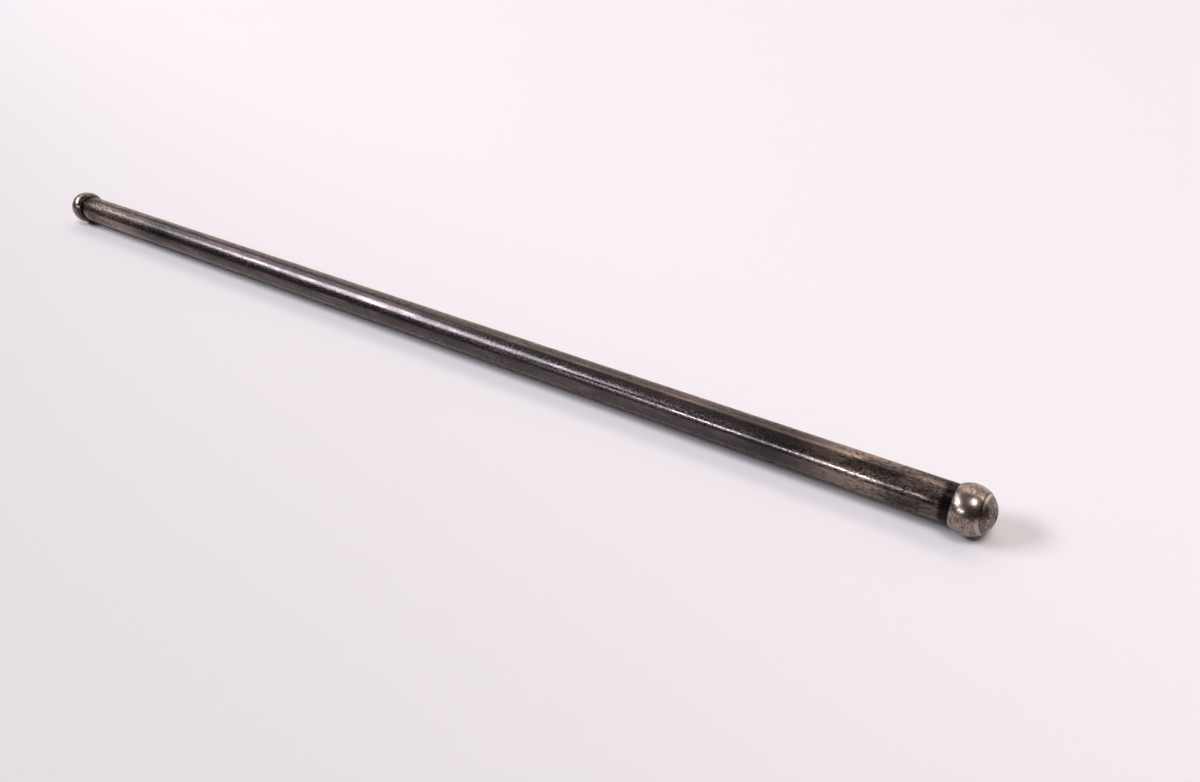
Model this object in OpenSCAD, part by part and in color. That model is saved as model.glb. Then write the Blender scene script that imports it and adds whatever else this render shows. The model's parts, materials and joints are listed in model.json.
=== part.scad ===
// Engine pushrod: a straight steel tube with a hardened ball end pressed into each mouth.
// The rod lies along X, with the rocker end at +X and the origin halfway between the ball centres.

/* [Rod] */
// Distance between the two ball centres
ball_centres = 241.3; // [120:0.1:330]

/* [Tube] */
// Outside diameter of the tube
tube_d = 6.35; // [5.6:0.05:6.6]
// Wall of the tube
tube_wall = 1.25; // [0.9:0.05:1.6]
// Broken outer edge at each mouth of the tube
tube_edge = 0.15; // [0.05:0.05:0.3]
// Lead-in chamfer inside each mouth, which guides the shank during pressing
bore_lead = 0.3; // [0.1:0.05:0.5]

/* [Ball end] */
// Diameter of the ball
ball_d = 7.94; // [7.5:0.02:9]
// Distance from the ball's centre back to the flat shoulder that seats on the tube
shoulder_back = 2.08; // [1.6:0.02:2.2]
// Length of the shank inside the tube
shank_l = 10; // [6:0.5:20]
// Chamfer at the shank's inner end
shank_chamfer = 0.4; // [0.2:0.05:0.6]
// Gap all round between shank and bore, a press fit drawn line to line
press_gap = 0.01; // [0.005:0.005:0.02]
// Diameter of the oil hole through the ball and the shank
oil_hole_d = 1.2; // [0.8:0.1:1.5]

/* [Wear] */
// Angle from the tip to the edge of the zone that runs in the rocker or tappet cup
wear_angle = 54; // [45:1:65]
// Depth by which that zone has worn below the ball's own surface
wear_depth = 0.05; // [0.02:0.01:0.12]
// Diameter of the flat around the mouth of the oil hole
tip_flat_d = 2.2; // [1.8:0.1:2.8]

/* [Hidden] */
$fn = 96;

tube_r = tube_d / 2;
bore_r = tube_r - tube_wall;
tube_l = ball_centres - 2 * shoulder_back;
ball_r = ball_d / 2;
shank_r = bore_r - press_gap;
worn_r = ball_r - wear_depth;
wear_plane = ball_r * cos(wear_angle);
tip_plane = sqrt(pow(worn_r, 2) - pow(tip_flat_d / 2, 2));
// Cutting outlines run this far past the surface that they cut
overrun = 0.5;

// Solid of revolution about X, from a profile drawn with its radius across and X upwards
module revolved() {
    rotate([0, 90, 0])
        rotate_extrude()
            children();
}

// Profile between two heights, out to a given radius
module band(r, x0, x1) {
    translate([0, x0])
        square([r, x1 - x0]);
}

// Profile of a ball about the origin, cut off at two heights
module ball_band(r, x0, x1) {
    intersection() {
        circle(r = r);
        band(r, x0, x1);
    }
}

// Ball end with its centre at the origin and its tip towards +X
module ball_end() {
    shank_end = -shoulder_back - shank_l;
    revolved()
        difference() {
            union() {
                ball_band(ball_r, -shoulder_back, wear_plane);
                ball_band(worn_r, 0, tip_plane);
                polygon([
                    [0, shank_end],
                    [shank_r - shank_chamfer, shank_end],
                    [shank_r, shank_end + shank_chamfer],
                    [shank_r, 0],
                    [0, 0]
                ]);
            }
            band(oil_hole_d / 2, shank_end - overrun, ball_r + overrun);
        }
}

// Seamless tube with a broken outer edge and a bore lead-in at each mouth
module push_tube() {
    mouth = tube_l / 2;
    half = [
        [bore_r, mouth - bore_lead],
        [bore_r + bore_lead, mouth],
        [tube_r - tube_edge, mouth],
        [tube_r, mouth - tube_edge]
    ];
    other_half = [for (i = [len(half) - 1 : -1 : 0]) [half[i][0], -half[i][1]]];
    color("#3b3634")
        revolved()
            polygon(concat(half, other_half));
}

// Near end, which works in the rocker's cup
module rocker_ball_end() {
    color("#8f8883")
        translate([ball_centres / 2, 0, 0])
            ball_end();
}

// Far end, which works in the tappet's cup
module tappet_ball_end() {
    color("#8f8883")
        mirror([1, 0, 0])
            translate([ball_centres / 2, 0, 0])
                ball_end();
}

push_tube();
rocker_ball_end();
tappet_ball_end();
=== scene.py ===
import json
from math import acos, asin, cos, pi, radians, sin, tan

import bmesh
import bpy
from mathutils import Matrix, Vector


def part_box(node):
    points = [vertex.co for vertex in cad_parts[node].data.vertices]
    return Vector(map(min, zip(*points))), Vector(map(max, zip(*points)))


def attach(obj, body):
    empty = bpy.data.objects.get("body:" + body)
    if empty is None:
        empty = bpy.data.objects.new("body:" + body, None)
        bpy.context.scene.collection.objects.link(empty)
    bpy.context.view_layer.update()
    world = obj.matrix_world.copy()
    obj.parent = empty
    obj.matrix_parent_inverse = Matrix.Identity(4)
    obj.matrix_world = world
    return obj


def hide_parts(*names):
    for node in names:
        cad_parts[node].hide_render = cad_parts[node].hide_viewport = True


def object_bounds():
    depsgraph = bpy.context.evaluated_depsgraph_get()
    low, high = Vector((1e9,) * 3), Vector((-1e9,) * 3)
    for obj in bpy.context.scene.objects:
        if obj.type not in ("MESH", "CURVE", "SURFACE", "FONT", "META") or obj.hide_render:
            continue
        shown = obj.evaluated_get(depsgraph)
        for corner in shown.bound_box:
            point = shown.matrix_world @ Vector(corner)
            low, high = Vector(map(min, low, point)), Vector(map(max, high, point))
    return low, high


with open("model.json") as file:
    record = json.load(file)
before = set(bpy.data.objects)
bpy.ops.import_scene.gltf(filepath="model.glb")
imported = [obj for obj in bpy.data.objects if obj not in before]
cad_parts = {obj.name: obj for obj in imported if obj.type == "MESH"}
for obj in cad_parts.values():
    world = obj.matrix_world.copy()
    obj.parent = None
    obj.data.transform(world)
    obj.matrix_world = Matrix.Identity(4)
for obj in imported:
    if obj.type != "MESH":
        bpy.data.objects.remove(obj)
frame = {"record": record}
cad_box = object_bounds()


# Push tube. A straight seamless steel tube, drawn to size and blackened, then worn in the engine.
# Its mouths are deburred outside and opened inside, where the ball ends' shanks are pressed in.
MM = 0.001
tube_radius = 3.175 * MM
bore_radius = 1.925 * MM
tube_edge = 0.15 * MM
bore_lead = 0.3 * MM
tube_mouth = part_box("push_tube")[1][0]
tube_sides = 160
tube_rings = 48
touching = 0.002 * MM


def turn_about_x(bm, sides):
    """Turn the profile that the mesh holds about the X axis into a closed skin."""
    bmesh.ops.spin(
        bm,
        geom=bm.verts[:] + bm.edges[:],
        cent=(0, 0, 0),
        axis=(1, 0, 0),
        angle=2 * pi,
        steps=sides,
        use_merge=True,
    )
    bmesh.ops.remove_doubles(bm, verts=bm.verts, dist=touching / 4)
    bmesh.ops.recalc_face_normals(bm, faces=bm.faces)


def break_edge(bm, x, radius, width, segments):
    """Round the turned edge at a place along the axis and a radius, or chamfer it with one segment."""

    def on_edge(vert):
        return abs(vert.co.x - x) < touching and abs(vert.co.yz.length - radius) < touching

    bmesh.ops.bevel(
        bm,
        geom=[edge for edge in bm.edges if all(on_edge(vert) for vert in edge.verts)],
        offset=width,
        affect="EDGES",
        segments=segments,
        profile=0.5,
        material=-1,
    )


def store_mesh(bm, name, material):
    """Store a mesh as an object of the scene, smooth but for its sharp edges."""
    sharp_angle = radians(35)
    mesh = bpy.data.meshes.new(name)
    bm.to_mesh(mesh)
    bm.free()
    mesh.shade_smooth()
    mesh.set_sharp_from_angle(angle=sharp_angle)
    mesh.materials.append(material)
    piece = bpy.data.objects.new(name, mesh)
    bpy.context.scene.collection.objects.link(piece)
    return piece


def linear(code):
    """Linear colour of an sRGB hex code, with full alpha."""
    levels = [int(code[i:i + 2], 16) / 255 for i in (1, 3, 5)]
    return [v / 12.92 if v < 0.04045 else ((v + 0.055) / 1.055) ** 2.4 for v in levels] + [1]


def add_node(tree, kind, inputs=None, **settings):
    """Add a shader node. Each input is set to a value, or linked to a socket or to a node's first output."""
    node = tree.nodes.new("ShaderNode" + kind)
    for name, setting in settings.items():
        setattr(node, name, setting)
    for name, source in (inputs or {}).items():
        if isinstance(source, bpy.types.Node):
            source = next(socket for socket in source.outputs if socket.enabled)
        if isinstance(source, bpy.types.NodeSocket):
            tree.links.new(source, node.inputs[name])
        else:
            node.inputs[name].default_value = source
    return node


def start_material(name):
    """A material with an empty node tree, and the tree."""
    material = bpy.data.materials.new(name)
    material.use_nodes = True
    material.node_tree.nodes.clear()
    return material, material.node_tree


def uneven_marks(tree, place, length, width, detail, roughness):
    """A pattern of uneven marks with a length along the rod and a width across it."""
    scale = (1 / length, 1 / width, 1 / width)
    stretched = add_node(tree, "Mapping", {"Vector": place, "Scale": scale})
    return add_node(
        tree,
        "TexNoise",
        {"Vector": stretched, "Scale": 1.0, "Detail": detail, "Roughness": roughness},
    )


# Blackened drawn steel: a thin oxide skin, smooth but for pits and scuffs, so lamps show as long lines with
# a haze round them. It is rubbed through in places, and pitted in dark specks where it was hot. The ends were
# heated when they were hardened: brown towards the mouth, and a blue-black band where the heat stopped. At
# the mouth, next to the ball's shoulder, the tube turns near black. Real draw lines and grain are finer, and
# these are as coarse as they need to be to show.
oxide_black = linear("#474041")
oxide_brown = linear("#605455")
heat_brown = linear("#84746b")
heat_blue = linear("#232124")
rubbed_tan = linear("#857670")
rim_brown = linear("#fcf4f0")
rim_pit = linear("#b8aaa2")
near_black = linear("#141212")
tube_metallic = 0.85

draw_line_width = 0.3 * MM
draw_line_length = 30 * MM
draw_line_depth = 0.002 * MM
grain_width = 0.18 * MM
grain_length = 0.5 * MM
grain_depth = 0.004 * MM
speck_width = 0.34 * MM
speck_length = 0.8 * MM
scuff_width = 0.8 * MM
scuff_length = 7 * MM
patina_width = 3.5 * MM
patina_length = 13 * MM

heat_start = 96 * MM
heat_spread = 11 * MM
heat_wander = 3 * MM
band_place = 86.5 * MM
band_half = 9 * MM
band_lean = 0.05
grime_reach = 13 * MM
mouth_band_width = 1.2 * MM
mouth_band_fade = 0.8 * MM
mouth_band_wander = 0.5 * MM
mouth_band_end = tube_mouth - mouth_band_width

# A layer starts and is full at these levels of its pattern, which lie between 0 and 1 or are sums of such
# levels, and covers this share at most. "Cool" is the share left in the middle, where the tube stayed cool.
front_low, front_high = 0.25, 0.75
mouth_band_low, mouth_band_high, mouth_band_most = 0.3, 0.7, 0.97
brown_from, brown_full = 1.0, 0.8
patch_from, patch_full, patch_most, patch_cool = 0.48, 0.62, 0.85, 0.25
scuff_weight, heat_weight = 0.55, 0.1
rubbed_from, rubbed_full, rubbed_most = 0.86, 1.14, 0.5
pit_from, pit_full, pit_most = 0.42, 0.3, 0.15
speck_from, speck_full, speck_most, speck_cool = 0.5, 0.36, 0.8, 0.07
rim_pit_from, rim_pit_full = 0.54, 0.4
band_most = 0.65
grime_most = 0.5

# The roughness is the grain's, and the scuffs, the patina and the grime at the mouth add to it.
grain_low, grain_high, grain_smooth, grain_rough = 0.42, 0.66, 0.1, 0.35
scuff_low, scuff_high, scuff_smooth, scuff_rough = 0.3, 0.7, -0.03, 0.06
patina_low, patina_high, patina_smooth, patina_rough = 0.4, 0.65, -0.02, 0.05
grime_rough = 0.1

tube_steel, tree = start_material("blackened_drawn_steel")
place = add_node(tree, "TexCoord").outputs["Object"]
axes = add_node(tree, "SeparateXYZ", {"Vector": place})
draw_lines = uneven_marks(tree, place, draw_line_length, draw_line_width, detail=3, roughness=0.6)
grain = uneven_marks(tree, place, grain_length, grain_width, detail=3, roughness=0.75)
specks = uneven_marks(tree, place, speck_length, speck_width, detail=3, roughness=0.7)
scuffs = uneven_marks(tree, place, scuff_length, scuff_width, detail=4, roughness=0.65)
patina = uneven_marks(tree, place, patina_length, patina_width, detail=5, roughness=0.6)

# How far a point is from the tube's middle, with an uneven front for the heat and another for the near-black
# band at the mouth.
off_middle = add_node(tree, "Math", {0: axes.outputs["X"]}, operation="ABSOLUTE")
heat_front = add_node(
    tree,
    "MapRange",
    {
        "Value": patina,
        "From Min": front_low,
        "From Max": front_high,
        "To Min": -heat_wander,
        "To Max": heat_wander,
    },
)
heat_place = add_node(tree, "Math", {0: off_middle, 1: heat_front}, operation="ADD")
heat_share = add_node(
    tree,
    "MapRange",
    {"Value": heat_place, "From Min": heat_start - heat_spread, "From Max": heat_start + heat_spread},
    interpolation_type="SMOOTHSTEP",
)
# A near-black band at the mouth, next to the ball's shoulder.
mouth_band_front = add_node(
    tree,
    "MapRange",
    {
        "Value": patina,
        "From Min": mouth_band_low,
        "From Max": mouth_band_high,
        "To Min": -mouth_band_wander,
        "To Max": mouth_band_wander,
    },
)
mouth_band_place = add_node(tree, "Math", {0: off_middle, 1: mouth_band_front}, operation="ADD")
mouth_band_share = add_node(
    tree,
    "MapRange",
    {"Value": mouth_band_place, "From Min": mouth_band_end - mouth_band_fade, "From Max": mouth_band_end, "To Max": mouth_band_most},
    interpolation_type="SMOOTHSTEP",
)
grime_share = add_node(
    tree,
    "MapRange",
    {"Value": heat_place, "From Min": tube_mouth - grime_reach, "From Max": tube_mouth, "To Max": grime_most},
    interpolation_type="SMOOTHSTEP",
)

# The band lies a little nearer to the mouth at one end of the tube than at the other.
leaned = add_node(
    tree,
    "Math",
    {0: axes.outputs["X"], 1: -band_lean, 2: heat_place},
    operation="MULTIPLY_ADD",
)
past_band = add_node(tree, "Math", {0: leaned, 1: band_place}, operation="SUBTRACT")
off_band = add_node(tree, "Math", {0: past_band}, operation="ABSOLUTE")
band_share = add_node(
    tree,
    "MapRange",
    {"Value": off_band, "From Max": band_half, "To Min": band_most, "To Max": 0.0},
    interpolation_type="SMOOTHSTEP",
)

mottle = add_node(tree, "Math", {0: scuffs, 1: patina}, operation="ADD")
brown_share = add_node(
    tree,
    "MapRange",
    {"Value": mottle, "From Min": brown_from, "From Max": brown_full},
)
patches = add_node(
    tree,
    "MapRange",
    {"Value": patina, "From Min": patch_from, "From Max": patch_full, "To Max": patch_most},
    interpolation_type="SMOOTHSTEP",
)
patch_heat = add_node(tree, "MapRange", {"Value": heat_share, "To Min": patch_cool})
patch_share = add_node(tree, "Math", {0: patches, 1: patch_heat}, operation="MULTIPLY")
scuffed = add_node(tree, "Math", {0: scuffs, 1: scuff_weight, 2: grain}, operation="MULTIPLY_ADD")
rubbing = add_node(tree, "Math", {0: heat_share, 1: heat_weight, 2: scuffed}, operation="MULTIPLY_ADD")
rubbed_share = add_node(
    tree,
    "MapRange",
    {"Value": rubbing, "From Min": rubbed_from, "From Max": rubbed_full, "To Max": rubbed_most},
)
pit_share = add_node(
    tree,
    "MapRange",
    {"Value": grain, "From Min": pit_from, "From Max": pit_full, "To Max": pit_most},
)
dark_specks = add_node(
    tree,
    "MapRange",
    {"Value": specks, "From Min": speck_from, "From Max": speck_full, "To Max": speck_most},
)
speck_heat = add_node(tree, "MapRange", {"Value": heat_share, "To Min": speck_cool})
speck_share = add_node(tree, "Math", {0: dark_specks, 1: speck_heat}, operation="MULTIPLY")
rim_pit_share = add_node(
    tree,
    "MapRange",
    {"Value": specks, "From Min": rim_pit_from, "From Max": rim_pit_full},
)

# A colour mix repeats the names of its sockets, so they go by number.
mix_share, mix_under, mix_over = 0, 6, 7
tube_colour = oxide_black
for share, colour in (
    (brown_share, oxide_brown),
    (heat_share, heat_brown),
    (patch_share, heat_blue),
    (rubbed_share, rubbed_tan),
    (pit_share, near_black),
    (speck_share, near_black),
    (band_share, heat_blue),
    (grime_share, near_black),
    (mouth_band_share, near_black),
):
    layer = {mix_share: share, mix_under: tube_colour, mix_over: colour}
    tube_colour = add_node(tree, "Mix", layer, data_type="RGBA")
rim_layer = {mix_share: rim_pit_share, mix_under: rim_brown, mix_over: rim_pit}
rim_tint = add_node(tree, "Mix", rim_layer, data_type="RGBA")

grain_roughness = add_node(
    tree,
    "MapRange",
    {
        "Value": grain,
        "From Min": grain_low,
        "From Max": grain_high,
        "To Min": grain_smooth,
        "To Max": grain_rough,
    },
)
scuff_roughness = add_node(
    tree,
    "MapRange",
    {
        "Value": scuffs,
        "From Min": scuff_low,
        "From Max": scuff_high,
        "To Min": scuff_smooth,
        "To Max": scuff_rough,
    },
)
patina_roughness = add_node(
    tree,
    "MapRange",
    {
        "Value": patina,
        "From Min": patina_low,
        "From Max": patina_high,
        "To Min": patina_smooth,
        "To Max": patina_rough,
    },
)
wear_roughness = add_node(tree, "Math", {0: scuff_roughness, 1: patina_roughness}, operation="ADD")
grimed_roughness = add_node(
    tree,
    "Math",
    {0: grime_share, 1: grime_rough, 2: grain_roughness},
    operation="MULTIPLY_ADD",
)
tube_roughness = add_node(tree, "Math", {0: grimed_roughness, 1: wear_roughness}, operation="ADD")

grain_relief = add_node(tree, "Bump", {"Strength": 1.0, "Distance": grain_depth, "Height": grain})
tube_relief = add_node(
    tree,
    "Bump",
    {"Strength": 1.0, "Distance": draw_line_depth, "Height": draw_lines, "Normal": grain_relief},
)
tube_skin = add_node(
    tree,
    "BsdfPrincipled",
    {
        "Base Color": tube_colour,
        "Metallic": tube_metallic,
        "Roughness": tube_roughness,
        "Specular Tint": rim_tint,
        "Normal": tube_relief,
    },
)
add_node(tree, "OutputMaterial", {"Surface": tube_skin})

bm = bmesh.new()
corners = [
    bm.verts.new((x, 0, radius))
    for x, radius in (
        (-tube_mouth, bore_radius),
        (tube_mouth, bore_radius),
        (tube_mouth, tube_radius),
        (-tube_mouth, tube_radius),
    )
]
for first, second in zip(corners, corners[1:] + corners[:1]):
    bm.edges.new((first, second))
long_edges = [edge for edge in bm.edges if edge.calc_length() > tube_mouth]
bmesh.ops.subdivide_edges(bm, edges=long_edges, cuts=tube_rings)
turn_about_x(bm, tube_sides)
for end in (-tube_mouth, tube_mouth):
    break_edge(bm, end, tube_radius, tube_edge, segments=3)
    break_edge(bm, end, bore_radius, bore_lead, segments=1)
tube = store_mesh(bm, "drawn_push_tube", tube_steel)
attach(tube, "root")
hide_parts("push_tube")


# Ball ends. Two hardened steel ends, turned with a shank and a drilled oil way, and ground to a ball.
# Each shank is pressed into the tube until the ball's flat shoulder sits on the tube's mouth.
# The tip that ran in its cup has worn below the ball, a little askew, and left a ring around it.
ball_radius = 3.967 * MM
shoulder_back = 2.08 * MM
press_gap = 0.01 * MM
shank_radius = bore_radius - press_gap
shank_length = 10 * MM
shank_chamfer = 0.4 * MM
oil_hole_radius = 0.6 * MM
wear_angle = radians(51)
wear_tilt = radians(9)
wear_depth = 0.05 * MM
wear_ledge = 0.06 * MM
tip_flat_radius = 1.1 * MM
rim_round = 0.06 * MM
hole_round = 0.12 * MM
ball_sides = 160
ball_steps = 64

ball_mount = next(mount for mount in frame["record"]["mounts"] if mount["name"] == "rocker_ball")
ball_centre = ball_mount["pos_m"][0]
worn_scale = 1 - wear_depth / ball_radius
wear_plane = ball_radius * cos(wear_angle)
wear_axis = Vector((cos(wear_tilt), 0, sin(wear_tilt)))
shoulder_angle = acos(-shoulder_back / ball_radius)
shoulder = ball_centre - shoulder_back
shoulder_rim = ball_radius * sin(shoulder_angle)
shank_end = shoulder - shank_length
tip_angle = asin(tip_flat_radius / (ball_radius * worn_scale))
tip = ball_centre + ball_radius * cos(tip_angle)
tip_rim = ball_radius * sin(tip_angle)

# Ground bearing steel, run in and stained: it mirrors the room softly, in a warm grey with brown stains and
# fine grinding marks round the axis. The worn tip is duller, with grime in the ring around it, and bright
# flecks near the oil hole that are painted glints. Beside the ring it is burnished on the ball below, and on
# the tip above a painted highlight stands for the ledge catching the light. The far ball is painted darker
# beside its shoulder, painted shade for the corner against the tube. Real grinding marks are finer, and these
# are coarse enough to show.
ground_grey = linear("#998b84")
stain_brown = linear("#5a4d45")
worn_grey = linear("#4a403c")
burnish_and_highlight = linear("#cdbfb4")
grime_black = linear("#231e1c")
painted_corner_shade = linear("#3f322d")
ball_metallic = 0.95

stain_size = 1.2 * MM
spot_size = 0.2 * MM
spot_depth = 0.006 * MM
grind_mark = 0.12 * MM
grind_length = 1.2 * MM
grind_depth = 0.0012 * MM
fleck_size = 0.3 * MM

ring_grime_width = 0.09 * MM
stripe_near = 0.08 * MM
stripe_far = 0.55 * MM
stripe_soft = 0.08 * MM
stripe_top = 0.3 * ball_radius
stripe_bottom = 0.05 * ball_radius
lip_far = 0.42 * MM
lip_bottom = 0.5 * ball_radius
lip_top = 0.72 * ball_radius
fleck_from = ball_radius * cos(radians(38))
fleck_to = ball_radius * cos(radians(28))
fleck_soft = 0.1 * MM
corner_shade_from = -0.2 * ball_radius
corner_shade_full = -0.32 * ball_radius

# The levels of the patterns and the greatest shares, as for the tube.
stain_from, stain_full = 0.88, 1.12
fleck_low, fleck_high, fleck_most = 0.55, 0.66, 0.9
worn_most = 0.5
stripe_most = 0.5
lip_highlight_most = 0.6
ring_grime_most = 0.6
corner_shade_most = 0.9

# The roughness is the fine spots', and the stains and the wear at the tip add to it.
spot_low, spot_high, spot_smooth, spot_rough = 0.35, 0.65, 0.14, 0.34
stain_low, stain_high, stain_smooth, stain_rough = 0.42, 0.62, -0.02, 0.14
tip_rough = 0.04

ball_steel, tree = start_material("ground_run_in_steel")
place = add_node(tree, "TexCoord").outputs["Object"]
axes = add_node(tree, "SeparateXYZ", {"Vector": place})
stains = uneven_marks(tree, place, stain_size, stain_size, detail=4, roughness=0.65)
spots = uneven_marks(tree, place, spot_size, spot_size, detail=3, roughness=0.7)
grind_marks = uneven_marks(tree, place, grind_mark, grind_length, detail=2, roughness=0.5)
flecks = uneven_marks(tree, place, fleck_size, fleck_size, detail=1, roughness=0.5)

# How far a point is from the ball's centre along the axis, and from the ring's plane towards the tip.
off_middle = add_node(tree, "Math", {0: axes.outputs["X"]}, operation="ABSOLUTE")
off_centre = add_node(tree, "Math", {0: off_middle, 1: ball_centre}, operation="SUBTRACT")
up_part = add_node(tree, "Math", {0: axes.outputs["Z"], 1: wear_axis.z}, operation="MULTIPLY")
along_wear = add_node(tree, "Math", {0: off_centre, 1: wear_axis.x, 2: up_part}, operation="MULTIPLY_ADD")
past_ring = add_node(tree, "Math", {0: along_wear, 1: wear_plane}, operation="SUBTRACT")
tip_share = add_node(
    tree,
    "MapRange",
    {"Value": past_ring, "From Min": -wear_ledge / 2, "From Max": wear_ledge / 2},
)
worn_share = add_node(tree, "Math", {0: tip_share, 1: worn_most}, operation="MULTIPLY")
off_ring = add_node(tree, "Math", {0: past_ring}, operation="ABSOLUTE")
ring_grime_share = add_node(
    tree,
    "MapRange",
    {
        "Value": off_ring,
        "From Min": ring_grime_width / 2,
        "From Max": ring_grime_width,
        "To Min": ring_grime_most,
        "To Max": 0.0,
    },
)

stripe_start = add_node(
    tree,
    "MapRange",
    {"Value": past_ring, "From Min": -stripe_far - stripe_soft, "From Max": -stripe_far + stripe_soft},
    interpolation_type="SMOOTHSTEP",
)
stripe_end = add_node(
    tree,
    "MapRange",
    {"Value": past_ring, "From Min": -stripe_near, "From Max": 0.0, "To Min": 1.0, "To Max": 0.0},
    interpolation_type="SMOOTHSTEP",
)
stripe_below = add_node(
    tree,
    "MapRange",
    {"Value": axes.outputs["Z"], "From Min": stripe_top, "From Max": stripe_bottom, "To Max": stripe_most},
    interpolation_type="SMOOTHSTEP",
)
stripe_width = add_node(tree, "Math", {0: stripe_start, 1: stripe_end}, operation="MULTIPLY")
low_stripe = add_node(tree, "Math", {0: stripe_width, 1: stripe_below}, operation="MULTIPLY")
# Painted highlight: a light stripe on the tip just beyond the ring, on its upper side only, where the ledge
# catches the light.
lip_start = add_node(
    tree,
    "MapRange",
    {"Value": past_ring, "From Min": ring_grime_width, "From Max": 2 * ring_grime_width},
    interpolation_type="SMOOTHSTEP",
)
lip_end = add_node(
    tree,
    "MapRange",
    {
        "Value": past_ring,
        "From Min": lip_far - stripe_soft,
        "From Max": lip_far + stripe_soft,
        "To Min": 1.0,
        "To Max": 0.0,
    },
    interpolation_type="SMOOTHSTEP",
)
lip_above = add_node(
    tree,
    "MapRange",
    {"Value": axes.outputs["Z"], "From Min": lip_bottom, "From Max": lip_top, "To Max": lip_highlight_most},
    interpolation_type="SMOOTHSTEP",
)
lip_width = add_node(tree, "Math", {0: lip_start, 1: lip_end}, operation="MULTIPLY")
painted_lip_highlight = add_node(tree, "Math", {0: lip_width, 1: lip_above}, operation="MULTIPLY")
# The burnished stripe on the ball below and the painted highlight on the tip above make one layer.
stripe_share = add_node(tree, "Math", {0: low_stripe, 1: painted_lip_highlight}, operation="MAXIMUM")

# Painted glints: bright flecks in a band on the worn tip, near the oil hole.
fleck_start = add_node(
    tree,
    "MapRange",
    {"Value": off_centre, "From Min": fleck_from - fleck_soft, "From Max": fleck_from + fleck_soft},
    interpolation_type="SMOOTHSTEP",
)
fleck_end = add_node(
    tree,
    "MapRange",
    {
        "Value": off_centre,
        "From Min": fleck_to - fleck_soft,
        "From Max": fleck_to + fleck_soft,
        "To Min": 1.0,
        "To Max": 0.0,
    },
    interpolation_type="SMOOTHSTEP",
)
fleck_band = add_node(tree, "Math", {0: fleck_start, 1: fleck_end}, operation="MULTIPLY")
fleck_spots = add_node(
    tree,
    "MapRange",
    {"Value": flecks, "From Min": fleck_low, "From Max": fleck_high, "To Max": fleck_most},
)
painted_glint_share = add_node(tree, "Math", {0: fleck_band, 1: fleck_spots}, operation="MULTIPLY")

# Painted shade: the far ball is darkened beside its shoulder, in the corner where it meets the tube.
far_end = add_node(
    tree,
    "MapRange",
    {
        "Value": axes.outputs["X"],
        "From Min": -ball_centre,
        "From Max": ball_centre,
        "To Min": 1.0,
        "To Max": 0.0,
    },
)
shoulder_side = add_node(
    tree,
    "MapRange",
    {"Value": off_centre, "From Min": corner_shade_from, "From Max": corner_shade_full, "To Max": corner_shade_most},
    interpolation_type="SMOOTHSTEP",
)
corner_shade_share = add_node(tree, "Math", {0: far_end, 1: shoulder_side}, operation="MULTIPLY")
staining = add_node(tree, "Math", {0: stains, 1: spots}, operation="ADD")
stain_share = add_node(
    tree,
    "MapRange",
    {"Value": staining, "From Min": stain_from, "From Max": stain_full},
)

ball_colour = ground_grey
for share, colour in (
    (stain_share, stain_brown),
    (worn_share, worn_grey),
    (stripe_share, burnish_and_highlight),
    (painted_glint_share, burnish_and_highlight),
    (corner_shade_share, painted_corner_shade),
    (ring_grime_share, grime_black),
):
    layer = {mix_share: share, mix_under: ball_colour, mix_over: colour}
    ball_colour = add_node(tree, "Mix", layer, data_type="RGBA")

spot_roughness = add_node(
    tree,
    "MapRange",
    {
        "Value": spots,
        "From Min": spot_low,
        "From Max": spot_high,
        "To Min": spot_smooth,
        "To Max": spot_rough,
    },
)
stain_roughness = add_node(
    tree,
    "MapRange",
    {
        "Value": stains,
        "From Min": stain_low,
        "From Max": stain_high,
        "To Min": stain_smooth,
        "To Max": stain_rough,
    },
)
stained_roughness = add_node(tree, "Math", {0: spot_roughness, 1: stain_roughness}, operation="ADD")
ball_roughness = add_node(
    tree,
    "Math",
    {0: tip_share, 1: tip_rough, 2: stained_roughness},
    operation="MULTIPLY_ADD",
)

spot_relief = add_node(tree, "Bump", {"Strength": 1.0, "Distance": spot_depth, "Height": spots})
ball_relief = add_node(
    tree,
    "Bump",
    {"Strength": 1.0, "Distance": grind_depth, "Height": grind_marks, "Normal": spot_relief},
)
ball_skin = add_node(
    tree,
    "BsdfPrincipled",
    {
        "Base Color": ball_colour,
        "Metallic": ball_metallic,
        "Roughness": ball_roughness,
        "Normal": ball_relief,
    },
)
add_node(tree, "OutputMaterial", {"Surface": ball_skin})


def sweep_arc(bm, start, centre, angle, steps):
    """Sweep a vertex round a centre in the XZ plane and return the last vertex."""
    swept = bmesh.ops.spin(
        bm,
        geom=[start],
        cent=centre,
        axis=(0, 1, 0),
        angle=angle,
        steps=steps,
    )
    return [item for item in swept["geom_last"] if isinstance(item, bmesh.types.BMVert)][0]


def draw_to(bm, start, x, radius):
    """Draw the profile on from a vertex to a place along the axis, at a radius."""
    vert = bmesh.ops.extrude_vert_indiv(bm, verts=[start])["verts"][0]
    vert.co = (x, 0, radius)
    return vert


def wear_tip(bm, centre):
    """Cut the ring across the ball and shrink the tip beyond it by the depth of the wear."""
    for cut in (wear_plane - wear_ledge / 2, wear_plane + wear_ledge / 2):
        bmesh.ops.bisect_plane(
            bm,
            geom=bm.verts[:] + bm.edges[:] + bm.faces[:],
            dist=touching,
            plane_co=centre + wear_axis * cut,
            plane_no=wear_axis,
        )
    worn_from = wear_plane + wear_ledge / 4
    bmesh.ops.scale(
        bm,
        vec=(worn_scale, worn_scale, worn_scale),
        space=Matrix.Translation(-centre),
        verts=[vert for vert in bm.verts if (vert.co - centre).dot(wear_axis) > worn_from],
    )


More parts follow.
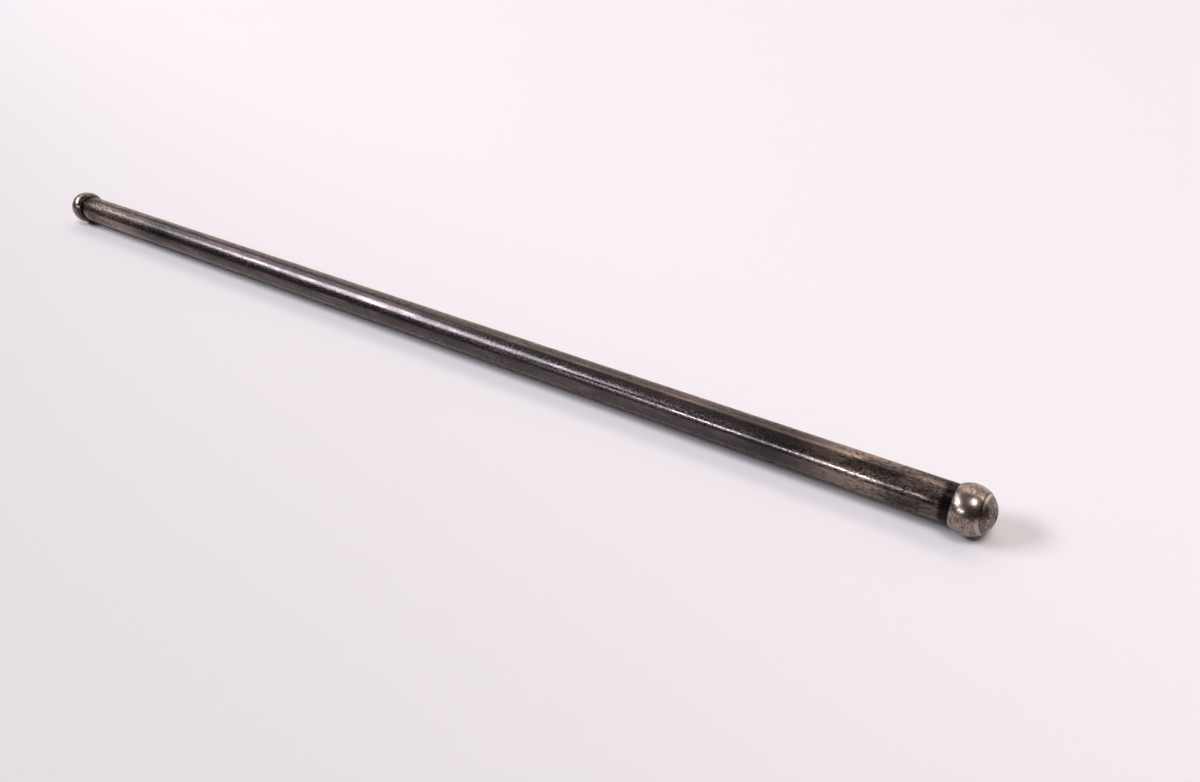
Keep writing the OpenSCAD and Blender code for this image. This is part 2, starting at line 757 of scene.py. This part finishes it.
for node_name, piece_name, turn in (
    ("rocker_ball_end", "rocker_ball", 0),
    ("tappet_ball_end", "tappet_ball", pi),
):
    bm = bmesh.new()
    centre = Vector((ball_centre, 0, 0))
    tip_edge = bm.verts.new((tip, 0, tip_rim))
    rim = sweep_arc(bm, tip_edge, centre, tip_angle - shoulder_angle, ball_steps)
    root = draw_to(bm, rim, shoulder, shank_radius)
    shank = draw_to(bm, root, shank_end + shank_chamfer, shank_radius)
    shank_edge = draw_to(bm, shank, shank_end, shank_radius - shank_chamfer)
    hole_end = draw_to(bm, shank_edge, shank_end, oil_hole_radius)
    hole_mouth = draw_to(bm, hole_end, tip, oil_hole_radius)
    bm.edges.new((hole_mouth, tip_edge))
    turn_about_x(bm, ball_sides)
    break_edge(bm, tip, oil_hole_radius, hole_round, segments=3)
    break_edge(bm, tip, tip_rim, rim_round, segments=2)
    break_edge(bm, shoulder, shoulder_rim, rim_round, segments=3)
    wear_tip(bm, centre)
    bmesh.ops.rotate(bm, verts=bm.verts, cent=(0, 0, 0), matrix=Matrix.Rotation(turn, 3, "Z"))
    ball = store_mesh(bm, piece_name, ball_steel)
    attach(ball, "root")
    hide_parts(node_name)


# Studio floor. A plain satin white board that the rod lies on, large enough to fill the view.
# It is part of the stage and not of the rod. Its colour greys towards the camera's side: painted shade.
floor_half = 800 * MM
floor_level = cad_box[0][2]
board_white = linear("#f8f2f6")
painted_shade_grey = linear("#dad5d8")
painted_shade_front = -145 * MM
painted_shade_back = 75 * MM
painted_shade_lean = 0.26
board_roughness = 0.5
board_sheen = 0.25

board, tree = start_material("satin_white_board")
place = add_node(tree, "TexCoord").outputs["Object"]
axes = add_node(tree, "SeparateXYZ", {"Vector": place})
# Painted shade: the board turns from white to grey towards the camera's side, for the lamps' fall-off there.
across = add_node(
    tree,
    "Math",
    {0: axes.outputs["X"], 1: painted_shade_lean, 2: axes.outputs["Y"]},
    operation="MULTIPLY_ADD",
)
unshaded_share = add_node(
    tree,
    "MapRange",
    {"Value": across, "From Min": painted_shade_front, "From Max": painted_shade_back},
    interpolation_type="SMOOTHSTEP",
)
shaded_board_layer = {mix_share: unshaded_share, mix_under: painted_shade_grey, mix_over: board_white}
shaded_board_colour = add_node(tree, "Mix", shaded_board_layer, data_type="RGBA")
board_skin = add_node(
    tree,
    "BsdfPrincipled",
    {"Base Color": shaded_board_colour, "Roughness": board_roughness, "Specular IOR Level": board_sheen},
)
add_node(tree, "OutputMaterial", {"Surface": board_skin})

bm = bmesh.new()
bmesh.ops.create_grid(bm, x_segments=1, y_segments=1, size=floor_half)
bmesh.ops.translate(bm, verts=bm.verts, vec=(0, 0, floor_level))
floor = store_mesh(bm, "board_floor", board)


# Studio lamps. A softbox overhead, one beyond the far end with a dimmer screen beside it, a low strip on the
# camera's side and a large soft screen behind, all at one distance and facing the rod. The strip and the
# dimmer screen show in the metal only, and do not light the floor.
lamp_distance = 2000 * MM


def place_softbox(name, azimuth, elevation, width, height, brightness, tint, mirrored_only=False):
    """Hang a softbox in a direction seen from the rod. Its face is so many degrees wide and high."""
    towards = Vector((
        cos(radians(elevation)) * cos(radians(azimuth)),
        cos(radians(elevation)) * sin(radians(azimuth)),
        sin(radians(elevation)),
    ))
    lamp = bpy.data.lights.new(name, "AREA")
    lamp.shape = "RECTANGLE"
    lamp.size = 2 * lamp_distance * tan(radians(width / 2))
    lamp.size_y = 2 * lamp_distance * tan(radians(height / 2))
    lamp.energy = brightness * pi * lamp.size * lamp.size_y
    lamp.color = linear(tint)[:3]
    box = bpy.data.objects.new(name, lamp)
    box.location = towards * lamp_distance
    box.rotation_mode = "QUATERNION"
    box.rotation_quaternion = (-box.location).to_track_quat("-Z", "Y")
    box.visible_camera = False
    box.visible_diffuse = not mirrored_only
    bpy.context.scene.collection.objects.link(box)


place_softbox(
    "overhead_softbox",
    azimuth=-28,
    elevation=69.4,
    width=21,
    height=21,
    brightness=8.9,
    tint="#fffcfd",
)
place_softbox(
    "far_softbox",
    azimuth=-152.5,
    elevation=38.1,
    width=28,
    height=13.5,
    brightness=17,
    tint="#f2f6ff",
)
place_softbox(
    "far_glow",
    azimuth=-182,
    elevation=37.5,
    width=28,
    height=20,
    brightness=2.8,
    tint="#f2f6ff",
    mirrored_only=True,
)
place_softbox(
    "low_strip",
    azimuth=-111.4,
    elevation=22.8,
    width=21,
    height=3.4,
    brightness=38,
    tint="#f4f8ff",
    mirrored_only=True,
)
place_softbox(
    "back_screen",
    azimuth=90,
    elevation=57,
    width=80,
    height=18,
    brightness=1.45,
    tint="#fffaf4",
)


# Studio walls. Pale behind the rod, less so overhead, and dark on the camera's side, as in a room that is
# lit from behind. Seen straight they are as pale as the floor, and mirrored they are brighter still.
wall_warm = linear("#fff4ec")
wall_pale = linear("#f7f1f6")
wall_lit = 0.3
wall_mirrored = 1.4
wall_dark = 0.03
ceiling_level = 0.4
behind_from, behind_full = 0.2, 0.55
ceiling_from = 0.7

world = bpy.data.worlds.new("studio_walls")
bpy.context.scene.world = world
world.use_nodes = True
tree = world.node_tree
tree.nodes.clear()
direction = add_node(tree, "TexCoord").outputs["Generated"]
ways = add_node(tree, "SeparateXYZ", {"Vector": direction})
path = add_node(tree, "LightPath")
seen = path.outputs["Is Camera Ray"]
behind_share = add_node(
    tree,
    "MapRange",
    {"Value": ways.outputs["Y"], "From Min": behind_from, "From Max": behind_full},
    interpolation_type="SMOOTHSTEP",
)
behind_level = add_node(
    tree,
    "MapRange",
    {"Value": path.outputs["Is Glossy Ray"], "To Min": wall_lit, "To Max": wall_mirrored},
)
back_level = add_node(tree, "Math", {0: behind_share, 1: behind_level}, operation="MULTIPLY")
top_level = add_node(
    tree,
    "MapRange",
    {"Value": ways.outputs["Z"], "From Min": ceiling_from, "To Min": wall_dark, "To Max": ceiling_level},
    interpolation_type="SMOOTHSTEP",
)
room_level = add_node(tree, "Math", {0: back_level, 1: top_level}, operation="MAXIMUM")
wall_level = add_node(tree, "Math", {0: room_level, 1: seen}, operation="MAXIMUM")
wall_layer = {mix_share: seen, mix_under: wall_warm, mix_over: wall_pale}
wall_colour = add_node(tree, "Mix", wall_layer, data_type="RGBA")
wall_light = add_node(tree, "Background", {"Color": wall_colour, "Strength": wall_level})
add_node(tree, "OutputWorld", {"Surface": wall_light})


# Camera. Close above the near end, looking along the rod and down at it, held a little askew.
camera_place = Vector((154.35, -116.54, 106.51)) * MM
camera_heading = radians(41.07)
camera_pitch = radians(35.05)
camera_roll = radians(-7.37)
camera_lens = 31.18
camera_sensor = 36
camera_near = 5 * MM

camera_data = bpy.data.cameras.new("photo_view")
camera_data.sensor_fit = "HORIZONTAL"
camera_data.sensor_width = camera_sensor
camera_data.lens = camera_lens
camera_data.clip_start = camera_near
camera = bpy.data.objects.new("photo_view", camera_data)
camera.location = camera_place
camera.rotation_euler = (pi / 2 - camera_pitch, 0, camera_heading)
camera.rotation_euler.rotate_axis("Z", camera_roll)
bpy.context.scene.collection.objects.link(camera)
bpy.context.scene.camera = camera
bpy.context.scene.view_settings.view_transform = "Standard"
